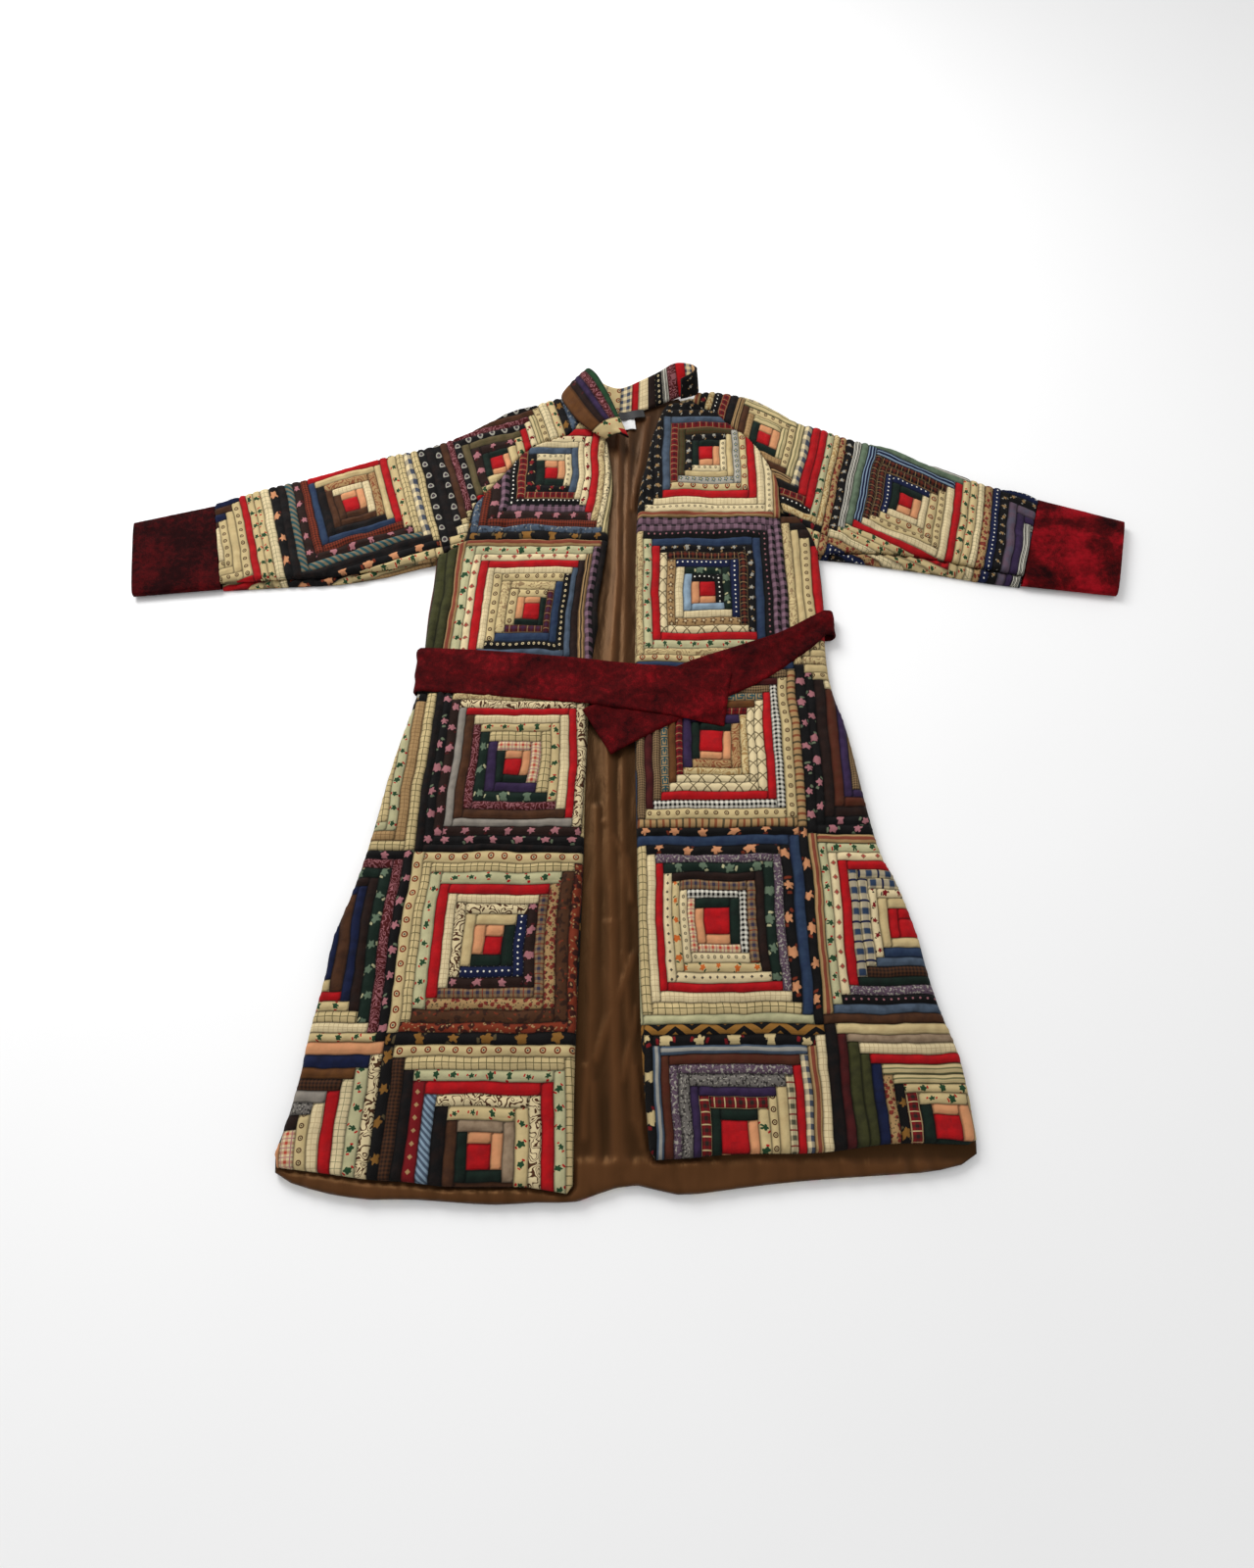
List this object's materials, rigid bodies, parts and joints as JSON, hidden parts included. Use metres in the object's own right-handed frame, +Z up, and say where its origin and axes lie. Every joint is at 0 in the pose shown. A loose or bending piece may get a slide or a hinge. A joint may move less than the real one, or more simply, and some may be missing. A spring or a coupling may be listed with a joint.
{
  "type": "quilted coat",
  "caption": "Long quilted patchwork coat laid flat on its back, open down the front, with raglan sleeves, stand collar, deep velvet cuffs and a tie belt.",
  "frame": {"origin": "middle of the coat's own box, on the surface that it lies on", "axes": "+X across the coat from cuff to cuff, +Y from the hem towards the collar, +Z up off the surface"},
  "size_m": [1.5354, 1.2722, 0.0664],
  "materials": {
    "patchwork": "printed and plain cotton logs, quilted over batting",
    "velvet": "dark red crushed velvet",
    "lining": "brown lining cloth with a soft sheen",
    "black_tape": "woven black tape, bare",
    "white_tape": "woven white tape, bare"
  },
  "bodies": {
    "root": {"back": "patchwork", "back_lining": "lining", "front_left": "patchwork", "front_right": "patchwork", "sleeve_left_front": "patchwork", "sleeve_left_back": "patchwork", "sleeve_right_front": "patchwork", "sleeve_right_back": "patchwork", "cuff_left": "velvet", "cuff_right": "velvet", "collar": "patchwork", "belt_left_run": "velvet", "belt_right_run": "velvet", "belt_back_run": "velvet", "neck_label": "black_tape", "care_tag": "white_tape"}
  },
  "joints": []
}
